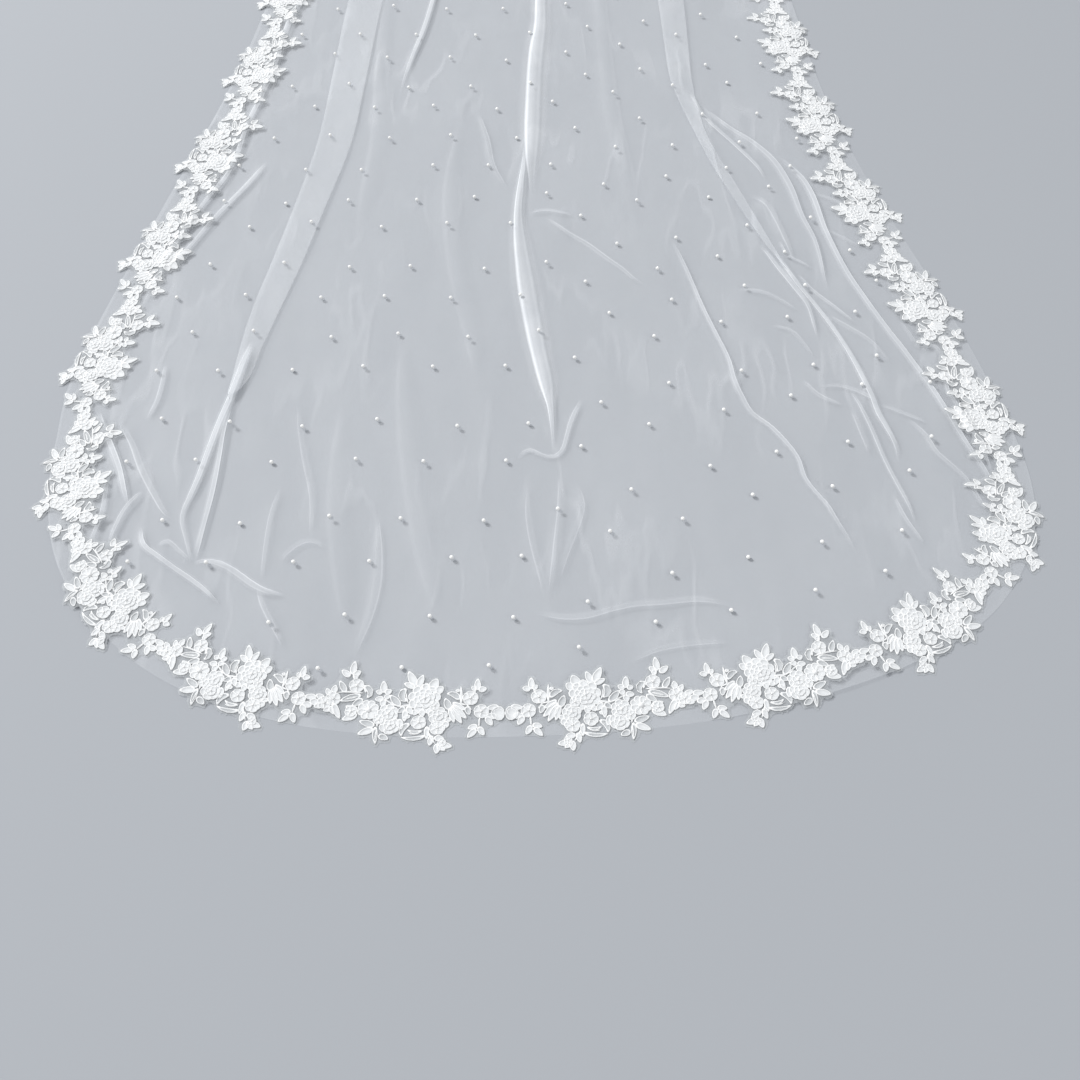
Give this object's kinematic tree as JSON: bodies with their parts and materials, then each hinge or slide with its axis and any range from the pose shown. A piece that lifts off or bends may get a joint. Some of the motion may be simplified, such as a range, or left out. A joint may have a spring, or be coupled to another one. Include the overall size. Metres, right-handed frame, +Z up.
{
  "type": "bridal cape",
  "caption": "Long sheer white tulle bridal cape laid flat, rounded at the hem, edged all round with floral corded lace, sewn with pearls and gathered onto a ribbon neckband.",
  "frame": {"origin": "on the surface below the cape, at the middle of its outline", "axes": "+Y runs up the laid cape from the hem to the neckband, +X to its right as seen from above with the hem nearest, +Z up from the surface"},
  "size_m": [1.5379, 2.5268, 0.0114],
  "materials": {
    "tulle": "sheer bridal tulle",
    "lace": "corded floral lace",
    "satin_ribbon": "satin ribbon",
    "silver_wire": "plated wire"
  },
  "bodies": {
    "root": {"panel": "tulle", "lace_left_01": "lace", "lace_left_02": "lace", "lace_left_03": "lace", "lace_left_04": "lace", "lace_left_05": "lace", "lace_left_06": "lace", "lace_left_07": "lace", "lace_left_08": "lace", "lace_left_09": "lace", "lace_left_10": "lace", "lace_left_11": "lace", "lace_left_12": "lace", "lace_right_01": "lace", "lace_right_02": "lace", "lace_right_03": "lace", "lace_right_04": "lace", "lace_right_05": "lace", "lace_right_06": "lace", "lace_right_07": "lace", "lace_right_08": "lace", "lace_right_09": "lace", "lace_right_10": "lace", "lace_right_11": "lace", "lace_right_12": "lace", "lace_right_13": "lace", "neckband": "satin_ribbon", "hook": "silver_wire", "eye": "silver_wire"}
  },
  "joints": []
}
